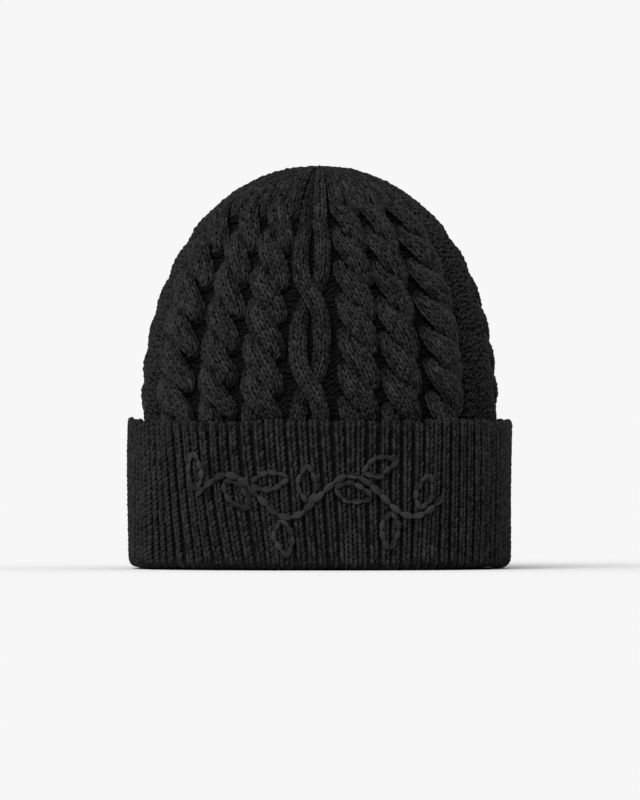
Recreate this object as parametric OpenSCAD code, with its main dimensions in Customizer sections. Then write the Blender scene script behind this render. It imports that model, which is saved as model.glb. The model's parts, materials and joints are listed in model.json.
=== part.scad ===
// Cabled knit beanie with a turned-up ribbed cuff, open and standing on its folded edge.
// The front faces -Y and the origin is the middle of the head opening, level with the folded edge.

/* [Hat] */
// Width across the turned-up cuff, from side to side
hat_width = 190; // [180:1:205]
// Depth across the turned-up cuff, from front to back
hat_depth = 220; // [210:1:235]
// Height of the crown's ground fabric above the folded edge
crown_height = 195.5; // [185:0.5:215]
// Squareness of the oval section, where 2 is a plain ellipse
squareness = 2.4; // [2:0.1:2.6]
// Fullness of the crown's shoulders, where 2 is a plain half ellipse
crown_fullness = 2.2; // [2:0.05:2.4]

/* [Cuff] */
// Height of the turned-up cuff
cuff_height = 74; // [60:1:80]
// Thickness of the turned-up layer
turned_layer = 4.5; // [4:0.1:5]
// Thickness of the layer against the head
inner_layer = 5.4; // [4.5:0.1:6]
// Gap between the two layers
layer_gap = 0.6; // [0.4:0.1:1]
// Height of the folded bottom edge
fold_height = 6; // [4:0.5:8]
// Height of the cast-on edge along the top of the turned-up layer
top_edge = 3; // [2:0.5:4]
// Number of ribs around the cuff
rib_count = 114; // [80:1:130]
// Depth of the valleys between the ribs
rib_depth = 1.2; // [0.6:0.1:1.8]

/* [Cables] */
// Half the width of one cable strand
strand_half_width = 4.6; // [3.5:0.1:4.8]
// Half the thickness of one cable strand
strand_half_thickness = 1.3; // [1:0.1:1.6]
// Crossings of a cable between the cuff and the point where its strands run straight
crossings = 6; // [4:1:7]
// Height of a cable's middle above the ground fabric
cable_height = 3.3; // [3.2:0.1:3.6]

/* [Label] */
// Width of the care label
label_width = 22; // [16:1:26]
// Length of the care label from its thread
label_length = 32; // [24:1:36]
// Height of the thread that the label hangs from
label_z = 108; // [100:1:112]
// Radius of the thread
thread_r = 0.6; // [0.5:0.05:0.8]

/* [Hidden] */

wool = [0.05, 0.05, 0.055];
wool_light = [0.09, 0.09, 0.1];
ribbon = [0.12, 0.12, 0.13];

// Depths below the cuff's outer face, measured inwards along the half width and the half depth.
band_outer = turned_layer + layer_gap;
band_inner = band_outer + inner_layer;
ground_outer = band_inner + 0.3;
ground_thickness = 3;
ground_inner = ground_outer + ground_thickness;
band_top = cuff_height - 8;
flange = 3;
crown_base = band_top + flange + 1;
crown_rise = crown_height - crown_base;

flange_inset = band_outer + 0.5;

segments = 64;
dome_steps = 14;

strand_sides = 6;
straight_rings = 3;
foot_climb = 1;
braid_climb = 56;
top_climb = 83;
side_spacing = 13.2;
back_spacing = 12.4;

motif_z = 36;
stem_wave = 10;
stem_period = 60;
stem_half_length = 60;
stem_steps = 40;
stem_sides = 6;
chain_half_width = 1.7;
leaf_count = 9;
leaf_spacing = 13.5;
leaf_length = 18;
leaf_half_width = 4.2;
leaf_points = 10;
leaf_lean = 52;

// The label's thread runs a little inside the crown's back wall.
label_gap = 3.5;
label_climb = climb_at((label_z - crown_base) / (crown_rise - ground_thickness));
label_y = (hat_depth / 2 - ground_inner) * narrowing(label_climb) - label_gap;

// Distance from the middle to an oval's edge in one direction.
function reach(angle, rx, ry) =
    pow(pow(abs(cos(angle)) / rx, squareness) + pow(abs(sin(angle)) / ry, squareness), -1 / squareness);

function oval_point(angle, rx, ry) = reach(angle, rx, ry) * [cos(angle), sin(angle)];

function section_point(angle, inset) = oval_point(angle, hat_width / 2 - inset, hat_depth / 2 - inset);

function section(inset) = [for (i = [0 : segments - 1]) section_point(360 * i / segments, inset)];

function unit(v) = v / norm(v);

// The crown's width and height at a climb, from 0 at the crown's base to 90 at its top, as shares.
function narrowing(climb) = pow(cos(climb), 2 / crown_fullness);

function rising(climb) = pow(sin(climb), 2 / crown_fullness);

function climb_at(rise_share) = asin(pow(rise_share, crown_fullness / 2));

// The same for the direction straight out of the crown.
function level_part(climb) = pow(cos(climb), 2 - 2 / crown_fullness);

function upward_part(climb) = pow(sin(climb), 2 - 2 / crown_fullness);

function crown_point(angle, climb) =
    let (edge = section_point(angle, ground_outer) * narrowing(climb))
    [edge[0], edge[1], crown_base + crown_rise * rising(climb)];

function inside_point(angle, climb) =
    let (edge = section_point(angle, ground_inner) * narrowing(climb))
    [edge[0], edge[1], crown_base + (crown_rise - ground_thickness) * rising(climb)];

// The level direction along the crown, and the direction straight out of it.
function crown_along(angle) =
    let (step = section_point(angle + 0.5, ground_outer) - section_point(angle - 0.5, ground_outer))
    unit([step[0], step[1], 0]);

function crown_out(angle, climb) =
    let (
        edge = section_point(angle, ground_outer),
        along = crown_along(angle),
        across = edge[0] * along[1] - edge[1] * along[0]
    )
    unit([
        along[1] * crown_rise * level_part(climb),
        -along[0] * crown_rise * level_part(climb),
        across * upward_part(climb)
    ]);

// Direction of a point on the oval, seen from the middle, whose X is this share of the half width.
function front_angle(share) =
    let (
        rx = hat_width / 2 - ground_outer,
        ry = hat_depth / 2 - ground_outer,
        depth_share = pow(1 - pow(abs(share), squareness), 1 / squareness)
    )
    atan2(-ry * depth_share, rx * share);

// Triangles between the rings of a closed tube, with a flat cap at each end.
function tube_faces(rings, sides) = concat(
    [for (i = [0 : rings - 2], j = [0 : sides - 1])
        let (k = (j + 1) % sides) [i * sides + j, (i + 1) * sides + j, (i + 1) * sides + k]],
    [for (i = [0 : rings - 2], j = [0 : sides - 1])
        let (k = (j + 1) % sides) [i * sides + j, (i + 1) * sides + k, i * sides + k]],
    [[for (j = [0 : sides - 1]) j]],
    [[for (j = [sides - 1 : -1 : 0]) (rings - 1) * sides + j]]
);

module oval_layer(outer, inner, bottom, top) {
    translate([0, 0, bottom])
        linear_extrude(top - bottom)
            difference() {
                polygon(section(outer));
                polygon(section(inner));
            }
}

// The crown: a dome of even thickness with a flange that stands on the inner ribbing.

module crown_ground() {
    climbs = [for (i = [0 : dome_steps - 1]) 90 * i / dome_steps];
    foot = [
        [ground_inner, band_top],
        [flange_inset, band_top],
        [flange_inset, band_top + flange],
        [ground_outer, band_top + flange + 0.5]
    ];
    foot_rings = [for (p = foot) [for (q = section(p[0])) [q[0], q[1], p[1]]]];
    outer_rings = [for (climb = climbs)
        [for (j = [0 : segments - 1]) crown_point(360 * j / segments, climb)]];
    inner_rings = [for (i = [dome_steps - 1 : -1 : 0])
        [for (j = [0 : segments - 1]) inside_point(360 * j / segments, climbs[i])]];
    rings = concat(foot_rings, outer_rings, inner_rings);
    top = len(foot_rings) + dome_steps;
    apex = len(rings) * segments;
    points = concat(
        [for (r = rings, p = r) p],
        [[0, 0, crown_height], [0, 0, crown_height - ground_thickness]]
    );
    faces = concat(
        [for (i = [0 : len(rings) - 1], j = [0 : segments - 1], half = [0, 1])
            if (i != top - 1)
                let (n = (i + 1) % len(rings), k = (j + 1) % segments)
                half == 0
                    ? [i * segments + j, n * segments + j, n * segments + k]
                    : [i * segments + j, n * segments + k, i * segments + k]],
        [for (j = [0 : segments - 1])
            [(top - 1) * segments + j, apex, (top - 1) * segments + (j + 1) % segments]],
        [for (j = [0 : segments - 1])
            [top * segments + (j + 1) % segments, apex + 1, top * segments + j]]
    );
    color(wool) polyhedron(points, faces);
}

// A cable: two flat strands that wind around each other up the crown and then run straight.

// A ring of the strand's skin. Phase 0 puts this strand on top and phase 90 puts the two side by side.
function strand_ring(angle, climb, phase, side, half_width, spread) =
    let (
        taper = narrowing(climb),
        thinning = 0.25 + 0.75 * taper,
        along = crown_along(angle),
        out = crown_out(angle, climb),
        sideways = -side * spread * half_width * sin(phase) * taper,
        lift = (cable_height + side * 1.14 * strand_half_thickness * cos(phase)) * thinning,
        centre = crown_point(angle, climb) + along * sideways + out * lift
    )
    [for (j = [0 : strand_sides - 1])
        let (turn = 360 * j / strand_sides)
        centre
            + along * cos(turn) * half_width * taper
            + out * sin(turn) * strand_half_thickness * thinning];

module strand(angle, side, start, turns, half_width, spread, straight_from) {
    end = 90 + 180 * turns;
    steps = round((end - start) / 45);
    foot = rising(foot_climb);
    braid = rising(straight_from) - foot;
    braided = [for (i = [0 : steps])
        strand_ring(angle, climb_at(foot + braid * i / steps),
            start + (end - start) * i / steps, side, half_width, spread)];
    straight = [for (i = [1 : straight_rings])
        strand_ring(angle, straight_from + (top_climb - straight_from) * i / straight_rings,
            end, side, half_width, spread)];
    rings = concat(braided, straight);
    polyhedron([for (r = rings, p = r) p], tube_faces(len(rings), strand_sides));
}

module cable(angle, start, width = 1) {
    color(wool_light)
        for (side = [-1, 1])
            strand(angle, side, start, crossings, strand_half_width * width, 1.13, braid_climb);
}

// The middle cable's strands are narrow and part between their crossings, leaving oval holes.
module open_cable(angle) {
    color(wool_light)
        for (side = [-1, 1])
            strand(angle, side, -68, 2, strand_half_width * 0.74, 1.9, braid_climb + 10);
}

module cable_front_1() cable(front_angle(-0.82), 60, 1.25);
module cable_front_2() cable(front_angle(-0.58), 20);
module cable_front_3() cable(front_angle(-0.35), 75);
module cable_front_4() open_cable(front_angle(-0.06));
module cable_front_5() cable(front_angle(0.22), 40);
module cable_front_6() cable(front_angle(0.46), 80);
module cable_front_7() cable(front_angle(0.7), 10, 1.12);

module cable_left_1() cable(180 - side_spacing, 50);
module cable_left_2() cable(180 - 2 * side_spacing, 15);
module cable_left_3() cable(180 - 3 * side_spacing, 70);

module cable_right_1() cable(side_spacing, 30);
module cable_right_2() cable(2 * side_spacing, 75);
module cable_right_3() cable(3 * side_spacing, 5);

module cable_back_1() cable(90 - 3 * back_spacing, 60);
module cable_back_2() cable(90 - 2 * back_spacing, 20);
module cable_back_3() cable(90 - back_spacing, 75);
module cable_back_4() open_cable(90);
module cable_back_5() cable(90 + back_spacing, 40);
module cable_back_6() cable(90 + 2 * back_spacing, 80);
module cable_back_7() cable(90 + 3 * back_spacing, 10);

// The cuff: a layer against the head, a rounded fold at the bottom and the ribbed layer turned up.

module rib_band_inner() {
    color(wool) oval_layer(band_outer, band_inner, fold_height, band_top);
}

// The fold is built from level slices that follow a rounded edge and stand on a flat foot.
module cuff_fold() {
    slices = 4;
    round_in = 2.4;
    color(wool)
        for (i = [0 : slices - 1]) {
            side = round_in * (1 - sin(90 * (i + 1) / slices));
            oval_layer(side, band_inner - side, fold_height * i / slices, fold_height * (i + 1) / slices);
        }
}

module cuff_turned_up() {
    facets = 4 * rib_count;
    depths = [rib_depth, rib_depth * 0.25, 0, rib_depth * 0.25];
    color(wool)
        translate([0, 0, fold_height])
            linear_extrude(cuff_height - top_edge - fold_height)
                difference() {
                    polygon([for (i = [0 : facets - 1]) section_point(360 * i / facets, depths[i % 4])]);
                    polygon(section(turned_layer));
                }
}

module cuff_top_edge() {
    color(wool_light) oval_layer(0.5, turned_layer - 0.5, cuff_height - top_edge, cuff_height);
}

// Inside the crown: the drawn-in yarn under the top, its knot, and the seam down the back.

module crown_gather_yarn() {
    color(wool_light)
        translate([0, 0, crown_height - ground_thickness - 1.6])
            rotate_extrude($fn = 48) translate([6, 0]) circle(0.9, $fn = 24);
}

module crown_gather_knot() {
    color(wool_light) translate([0, 0, crown_height - ground_thickness - 2.6]) sphere(2.2, $fn = 32);
}

module back_seam() {
    half_width = 1.5;
    clearance = 0.15;
    proud = 1.5;
    corners = [[half_width, clearance], [half_width, clearance + proud],
        [-half_width, clearance + proud], [-half_width, clearance]];
    inside_rise = crown_rise - ground_thickness;
    inside_depth = hat_depth / 2 - ground_inner;
    rings = [for (i = [0 : dome_steps - 3])
        let (
            climb = 90 * i / dome_steps,
            wall = inside_point(90, climb),
            inwards = unit([0, -inside_rise * level_part(climb), -inside_depth * upward_part(climb)])
        )
        [for (c = corners) wall + [c[0], 0, 0] + inwards * c[1]]];
    color(wool_light) polyhedron([for (r = rings, p = r) p], tube_faces(len(rings), 4));
}

// The sprig stitched on the front of the cuff: a waving stem with leaves on alternate sides.

// A point on the cuff's front face, this far to the right and this high, held off by lift.
function cuff_front(x, z, lift = 0) =
    let (
        rx = hat_width / 2,
        ry = hat_depth / 2,
        y = -ry * pow(1 - pow(abs(x) / rx, squareness), 1 / squareness)
    )
    [x, y, z] + cuff_out(x) * lift;

function cuff_out(x) =
    let (
        rx = hat_width / 2,
        ry = hat_depth / 2,
        depth_share = pow(1 - pow(abs(x) / rx, squareness), 1 / squareness)
    )
    unit([
        sign(x) * pow(abs(x) / rx, squareness - 1) / rx,
        -pow(depth_share, squareness - 1) / ry,
        0
    ]);

function stem_height(x) = motif_z + stem_wave * sin(360 * x / stem_period);

function stem_slope(x) = atan(stem_wave * 2 * PI / stem_period * cos(360 * x / stem_period));

module motif_stem() {
    rings = [for (i = [0 : stem_steps])
        let (
            x = stem_half_length * (2 * i / stem_steps - 1),
            out = cuff_out(x),
            slope = stem_slope(x),
            level = [-out[1], out[0], 0],
            across = level * -sin(slope) + [0, 0, cos(slope)],
            centre = cuff_front(x, stem_height(x), 1.1)
        )
        [for (j = [0 : stem_sides - 1])
            let (turn = 360 * j / stem_sides)
            centre + across * cos(turn) * chain_half_width + out * sin(turn)]];
    color(wool_light) polyhedron([for (r = rings, p = r) p], tube_faces(len(rings), stem_sides));
}

module leaf(x, above) {
    outline = [for (i = [0 : leaf_points - 1])
        let (u = i / (leaf_points - 1))
        [u * leaf_length, leaf_half_width * pow(sin(180 * u), 0.8) * (1.2 - 0.4 * u)]];
    out = cuff_out(x);
    root = cuff_front(x, stem_height(x) + above * (chain_half_width + 2.4), 0.12);
    translate(root)
        rotate([0, 0, atan2(out[0], -out[1])])
            rotate([90, 0, 0])
                rotate([0, 0, above * leaf_lean + stem_slope(x)])
                    linear_extrude(1.4)
                        polygon(concat(outline,
                            [for (i = [leaf_points - 2 : -1 : 1]) [outline[i][0], -outline[i][1]]]));
}

module motif_leaves() {
    color(wool_light)
        for (i = [0 : leaf_count - 1])
            leaf((i - (leaf_count - 1) / 2) * leaf_spacing - leaf_length / 3, i % 2 == 0 ? 1 : -1);
}

// The label hangs from a thread held by two stitches in the crown's back.

module care_label() {
    bore_r = thread_r + 0.06;
    hem_r = bore_r + 0.7;
    ribbon_thickness = 0.9;
    color(ribbon)
        translate([0, label_y, label_z])
            difference() {
                union() {
                    rotate([0, 90, 0]) cylinder(h = label_width, r = hem_r, center = true, $fn = 32);
                    translate([-label_width / 2, -ribbon_thickness / 2, -label_length])
                        cube([label_width, ribbon_thickness, label_length]);
                }
                rotate([0, 90, 0]) cylinder(h = label_width + 2, r = bore_r, center = true, $fn = 32);
            }
}

module care_label_stitches() {
    post_x = label_width / 2 + 1.5;
    color(wool_light)
        translate([0, label_y, label_z]) {
            rotate([0, 90, 0]) cylinder(h = 2 * post_x, r = thread_r, center = true, $fn = 32);
            for (x = [-post_x, post_x])
                translate([x, 0, 0])
                    rotate([-90, 0, 0])
                        cylinder(h = label_gap + 1, r = thread_r, $fn = 32);
        }
}

crown_ground();
cable_front_1();
cable_front_2();
cable_front_3();
cable_front_4();
cable_front_5();
cable_front_6();
cable_front_7();
cable_left_1();
cable_left_2();
cable_left_3();
cable_right_1();
cable_right_2();
cable_right_3();
cable_back_1();
cable_back_2();
cable_back_3();
cable_back_4();
cable_back_5();
cable_back_6();
cable_back_7();
rib_band_inner();
cuff_fold();
cuff_turned_up();
cuff_top_edge();
crown_gather_yarn();
crown_gather_knot();
back_seam();
motif_stem();
motif_leaves();
care_label();
care_label_stitches();
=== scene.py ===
"""The looks of the knit beanie: every stitch is a small closed solid laid along the CAD's surfaces.

Lengths are in metres and angles in radians, in the CAD's own frame: +Z up and the front faces -Y.
"""
import json
import math

import bpy
import numpy as np
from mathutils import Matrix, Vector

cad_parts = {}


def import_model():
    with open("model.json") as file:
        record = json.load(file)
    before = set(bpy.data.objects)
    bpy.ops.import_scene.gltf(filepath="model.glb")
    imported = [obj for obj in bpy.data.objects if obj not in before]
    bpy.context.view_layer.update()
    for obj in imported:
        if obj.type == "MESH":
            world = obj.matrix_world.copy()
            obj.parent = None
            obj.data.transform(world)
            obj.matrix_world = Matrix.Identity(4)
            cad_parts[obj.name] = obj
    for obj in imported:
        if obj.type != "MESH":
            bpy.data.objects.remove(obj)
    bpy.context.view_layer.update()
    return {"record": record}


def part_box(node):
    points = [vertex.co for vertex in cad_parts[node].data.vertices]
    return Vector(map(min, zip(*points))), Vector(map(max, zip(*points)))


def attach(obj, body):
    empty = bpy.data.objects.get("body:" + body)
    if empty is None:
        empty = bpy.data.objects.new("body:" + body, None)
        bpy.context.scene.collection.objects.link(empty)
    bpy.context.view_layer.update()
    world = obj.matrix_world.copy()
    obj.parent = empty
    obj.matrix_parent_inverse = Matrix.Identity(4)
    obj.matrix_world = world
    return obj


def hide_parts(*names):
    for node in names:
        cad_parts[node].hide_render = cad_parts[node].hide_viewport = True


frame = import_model()
rng = np.random.default_rng(7)
MM = 0.001
TAU = 2 * math.pi

# ---------------------------------------------------------------- the hat's own surfaces

SQUARENESS, FULLNESS = 2.4, 2.2
HALF_WIDTH, HALF_DEPTH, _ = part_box("cuff_turned_up")[1]
BAND_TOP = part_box("rib_band_inner")[1][2]
CUFF_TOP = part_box("cuff_top_edge")[1][2]
GROUND_LOW, GROUND_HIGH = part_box("crown_ground")
BAND_DEPTH = 10.5 * MM  # from the cuff's outer face to the inner ribbing's inner face
GROUND_DEPTH = BAND_DEPTH + 0.3 * MM
LAYER = 4.5 * MM  # the thickness of the turned-up ribbing
FOLD_RISE = 5.6 * MM  # the height at which the fold's round goes over into the upright cuff
EDGE_BAND = 3 * MM  # how far below the cuff's top its edge stitches begin
CROWN_BASE = GROUND_LOW[2] + 4 * MM
CROWN_TOP = GROUND_HIGH[2]
CROWN_RISE = CROWN_TOP - CROWN_BASE


def distances(steps):
    """The distance gone at each point of a route, from the lengths of the steps between them."""
    return np.concatenate([[0], np.cumsum(steps)])


def bulge(at, middle, width):
    """A smooth rise to 1 around a middle, and to almost 0 at twice this width from it."""
    return np.exp(-((at - middle) / width) ** 2)


def angle_from_front(angle):
    """The same angle, brought within the turn that starts at the front, at -90 degrees."""
    return (angle + math.pi / 2) % TAU - math.pi / 2


def oval(angle, inset):
    """Points of the hat's oval section, this far inside the cuff's outer face."""
    rx, ry = HALF_WIDTH - inset, HALF_DEPTH - inset
    c, s = np.cos(angle), np.sin(angle)
    reach = (np.abs(c / rx) ** SQUARENESS + np.abs(s / ry) ** SQUARENESS) ** (-1 / SQUARENESS)
    return reach * c, reach * s


def measure_oval(inset):
    """The length round an oval, and the share of it that is reached at each of a row of angles."""
    angle = np.linspace(-math.pi / 2, TAU - math.pi / 2, 4097)
    x, y = oval(angle, inset)
    gone = distances(np.hypot(np.diff(x), np.diff(y)))
    return gone[-1], gone / gone[-1], angle


CUFF_ROUND, CUFF_SHARES, OVAL_ANGLES = measure_oval(0)
CROWN_ROUND, CROWN_SHARES, _ = measure_oval(GROUND_DEPTH)


def angle_at(share, shares):
    """The angle at this share of the way round from the front, towards +X."""
    turns = np.floor(share)
    return np.interp(share - turns, shares, OVAL_ANGLES) + turns * TAU


def share_of(angle):
    """The crown's share at an angle in degrees, where -90 is the front and 0 is +X."""
    return np.interp(angle_from_front(math.radians(angle)), OVAL_ANGLES, CROWN_SHARES)


def front_reach(fraction):
    """How far forward the oval reaches, as a share of its half depth, at this share of its half width."""
    return (1 - np.abs(fraction) ** SQUARENESS) ** (1 / SQUARENESS)


def share_across(fraction):
    """The crown's share whose X, seen from the front, is this fraction of the half width."""
    rx, ry = HALF_WIDTH - GROUND_DEPTH, HALF_DEPTH - GROUND_DEPTH
    return share_of(math.degrees(math.atan2(-ry * front_reach(fraction), rx * fraction)))


# The length up the crown from its base at each climb angle, on a meridian between its widest and deepest.
CLIMBS = np.linspace(0, math.pi / 2, 721)
MIDDLING = (HALF_WIDTH + HALF_DEPTH) / 2 - GROUND_DEPTH
NARROWINGS = np.clip(np.cos(CLIMBS), 0, 1) ** (2 / FULLNESS)
RISINGS = np.sin(CLIMBS) ** (2 / FULLNESS)
UPS = distances(np.hypot(MIDDLING * np.diff(NARROWINGS), CROWN_RISE * np.diff(RISINGS)))
CROWN_LENGTH = UPS[-1]


def narrowing(up):
    """How wide the crown is at this length up it, as a share of its width at the base."""
    return np.interp(up, UPS, NARROWINGS)


def rise_at(up):
    """The height above the crown's base at this length up it."""
    return CROWN_RISE * np.interp(up, UPS, RISINGS) + np.minimum(up, 0)


def up_at(climb):
    """The length up the crown at this climb angle in degrees."""
    return float(np.interp(math.radians(climb), CLIMBS, UPS))


def crown(share, up, height):
    """Points at a height off the crown's ground. Below its base the crown goes straight down."""
    angle = angle_at(share, CROWN_SHARES)
    above = np.maximum(up, 0)
    narrow = narrowing(above)
    level, upward = narrow ** (FULLNESS - 1), (rise_at(above) / CROWN_RISE) ** (FULLNESS - 1)
    x, y = oval(angle, GROUND_DEPTH)
    nudge = 0.004
    ahead, behind = oval(angle + nudge, GROUND_DEPTH), oval(angle - nudge, GROUND_DEPTH)
    tx, ty = ahead[0] - behind[0], ahead[1] - behind[1]
    size = np.hypot(tx, ty)
    tx, ty = tx / size, ty / size
    nx, ny, nz = ty * CROWN_RISE * level, -tx * CROWN_RISE * level, (x * ty - y * tx) * upward
    out = height / np.sqrt(nx * nx + ny * ny + nz * nz)
    z = CROWN_BASE + rise_at(up) + nz * out
    return np.stack([x * narrow + nx * out, y * narrow + ny * out, z], -1)


def cuff_route():
    """The ribbing's way through the cuff: down inside, round the fold, up outside and over the top edge.

    Gives the distance gone, the depth below the cuff's outer face, the height, and the two parts of the
    direction out of the ribbing's surface.
    """
    fold_middle, edge_radius, tuck = BAND_DEPTH / 2, LAYER / 2, 8 * MM
    edge_foot = CUFF_TOP - edge_radius
    turn = np.linspace(0, math.pi, 33)[1:-1]
    over = np.linspace(0, math.pi, 17)[1:-1]
    depth = np.concatenate([
        [BAND_DEPTH, BAND_DEPTH], fold_middle + fold_middle * np.cos(turn),
        [0, 0], edge_radius - edge_radius * np.cos(over), [LAYER, LAYER]])
    height = np.concatenate([
        [BAND_TOP, FOLD_RISE], FOLD_RISE - FOLD_RISE * np.sin(turn),
        [FOLD_RISE, edge_foot], edge_foot + edge_radius * np.sin(over), [edge_foot, CUFF_TOP - tuck]])
    gone = distances(np.hypot(np.diff(depth), np.diff(height)))
    fine = np.linspace(0, gone[-1], 900)
    depth, height = np.interp(fine, gone, depth), np.interp(fine, gone, height)
    dd, dh = np.gradient(depth, fine), np.gradient(height, fine)
    size = np.hypot(dd, dh)
    return fine, depth, height, -dh / size, dd / size


def outside_at(height):
    """How far along the route its outer side reaches this height."""
    gone, _, rise, _, _ = ROUTE
    return float(gone[np.argmax((gone > FOLD_AT) & (rise >= height))])


ROUTE = cuff_route()
ROUTE_END = ROUTE[0][-1]
FOLD_AT = float(ROUTE[0][np.argmin(ROUTE[2])])
OUTSIDE_FROM = outside_at(FOLD_RISE)
EDGE_FROM = outside_at(CUFF_TOP - EDGE_BAND)


def cuff(share, along, height):
    """Points at a height off the ribbing's surface, this far along its route."""
    gone, depth, rise, out_depth, out_rise = ROUTE
    inset = np.interp(along, gone, depth) + np.interp(along, gone, out_depth) * height
    z = np.interp(along, gone, rise) + np.interp(along, gone, out_rise) * height
    x, y = oval(angle_at(share, CUFF_SHARES), inset)
    return np.stack([x, y, z], -1)


def ripple(share, along, size, waves, seed):
    """Slow unevenness of this size: waves with these counts round the hat, each at a tilt of its own."""
    draw = np.random.default_rng(seed)
    total = 0
    for n in waves:
        phase, tilt = draw.uniform(0, TAU), draw.uniform(-60, 60)
        total = total + np.sin(TAU * n * share + along * tilt + phase)
    return size * total / math.sqrt(len(waves))


# ---------------------------------------------------------------- stitches

def capsule(start, end, bow, radius, lift, sides=5, rings=3, flat=0.8, point=0.5):
    """A closed, tapered piece of yarn from start to end, bowed sideways and arched upwards.

    Gives its points as (across, along, height), its faces and, for each face corner, a place in a unit
    square. All its sizes are in the units of the caller: stitches, or millimetres for the ribbing.
    """
    tip, droop = 0.12, 0.35
    start, end = np.array(start, float), np.array(end, float)
    way = end - start
    side = np.array([way[1], -way[0]]) / np.hypot(*way)
    points = [[start[0], start[1], -lift * droop]]
    for i in range(rings):
        t = (i + 0.65) / (rings + 0.3)
        centre = start + way * t + side * bow * math.sin(math.pi * t)
        thick = radius * math.sin(math.pi * (0.10 + 0.80 * t)) ** point
        for j in range(sides):
            turn = TAU * (j + 0.5) / sides
            high = lift * math.sin(math.pi * t) + flat * thick * math.sin(turn)
            points.append([*(centre + side * math.cos(turn) * thick), high])
    points.append([end[0], end[1], -lift * droop])
    last = len(points) - 1
    faces, places = [], []
    for j in range(sides):
        k, u, v = (j + 1) % sides, j / sides, (j + 1) / sides
        faces.append([0, 1 + k, 1 + j])
        places.append([((u + v) / 2, 0), (v, tip), (u, tip)])
        for i in range(rings - 1):
            a, b = 1 + i * sides, 1 + (i + 1) * sides
            low, high = (tip + (1 - 2 * tip) * n / (rings - 1) for n in (i, i + 1))
            faces += [[a + j, a + k, b + k], [a + j, b + k, b + j]]
            places += [[(u, low), (v, low), (v, high)], [(u, low), (v, high), (u, high)]]
        faces.append([last, 1 + (rings - 1) * sides + j, 1 + (rings - 1) * sides + k])
        places.append([((u + v) / 2, 1), (u, 1 - tip), (v, 1 - tip)])
    return np.array(points), np.array(faces), np.array(places)


class Knit:
    """Collects closed pieces of yarn and makes one mesh of them."""

    def __init__(self):
        self.points, self.faces, self.places, self.tones, self.count = [], [], [], [], 0

    def add(self, points, faces, places, tones):
        """points is (copies, points, 3), and the faces and places are those of one copy."""
        copies, each = points.shape[:2]
        starts = self.count + np.arange(copies) * each
        self.points.append(points.reshape(-1, 3))
        self.faces.append((faces[None] + starts[:, None, None]).reshape(-1, 3))
        self.places.append(np.broadcast_to(places[None], (copies,) + places.shape))
        self.tones.append(np.repeat(tones, each))
        self.count += copies * each

    def solid(self, shape, tone=0.5):
        """One piece of its own, from its points, faces and places."""
        points, faces, places = shape
        self.add(points[None], faces, places, np.array([tone]))

    def finish(self, name, material, body, slot, replaced):
        """Makes the mesh, rides it on a body and hides the CAD nodes that it stands for."""
        points = np.concatenate(self.points)
        faces = np.concatenate(self.faces)
        mesh = bpy.data.meshes.new(name)
        mesh.vertices.add(len(points))
        mesh.vertices.foreach_set("co", points.astype(np.float32).ravel())
        mesh.loops.add(len(faces) * 3)
        mesh.loops.foreach_set("vertex_index", faces.astype(np.int32).ravel())
        mesh.polygons.add(len(faces))
        mesh.polygons.foreach_set("loop_start", np.arange(0, len(faces) * 3, 3, dtype=np.int32))
        mesh.update(calc_edges=True)
        mesh.polygons.foreach_set("use_smooth", np.ones(len(faces), bool))
        yarn = np.concatenate([p.reshape(-1, 2) for p in self.places])
        mesh.uv_layers.new(name="OFBake").data.foreach_set("uv", self.layout().astype(np.float32).ravel())
        mesh.uv_layers.new(name="yarn").data.foreach_set("uv", yarn.astype(np.float32).ravel())
        tone = mesh.attributes.new("tone", "FLOAT", "POINT")
        tone.data.foreach_set("value", np.concatenate(self.tones).astype(np.float32))
        mesh.validate()
        mesh.update()
        piece = bpy.data.objects.new(name, mesh)
        bpy.context.scene.collection.objects.link(piece)
        mesh.materials.append(material)
        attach(piece, body)
        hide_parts(*replaced)
        return piece

    def layout(self):
        """A place of its own for every copy in one square, for the baked textures."""
        copies = sum(len(p) for p in self.places)
        side = math.ceil(math.sqrt(copies))
        placed, first = [], 0
        for p in self.places:
            cell = first + np.arange(len(p))
            corner = np.stack([cell % side, cell // side], -1).reshape(-1, 1, 1, 2)
            placed.append(((corner + 0.06 + 0.88 * p) / side).reshape(-1, 2))
            first += len(p)
        return np.concatenate(placed)


def corners(*places):
    """The corner places of triangles, as (triangles, 3, 2), from the (u, v) of each of their corners."""
    return np.stack([np.stack(place, -1) for place in places], 1)


def quads(a, b, d, e, u0, u1, v0, v1):
    """Two triangles for each quad a, b, e, d that reaches from u0, v0 to u1, v1."""
    faces = np.concatenate([np.stack([a, b, e], -1), np.stack([a, e, d], -1)])
    places = np.concatenate([corners((u0, v0), (u1, v0), (u1, v1)), corners((u0, v0), (u1, v1), (u0, v1))])
    return faces, places


def ring_solid(rows):
    """A solid from a (rows, columns, 3) array that is closed both ways."""
    r, c = rows.shape[:2]
    i, j = (n.ravel() for n in np.meshgrid(np.arange(r), np.arange(c), indexing="ij"))
    next_i, next_j = (i + 1) % r, (j + 1) % c
    faces, places = quads(i * c + j, i * c + next_j, next_i * c + j, next_i * c + next_j,
                          j / c, (j + 1) / c, i / r, (i + 1) / r)
    return rows.reshape(-1, 3), faces, places


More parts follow.
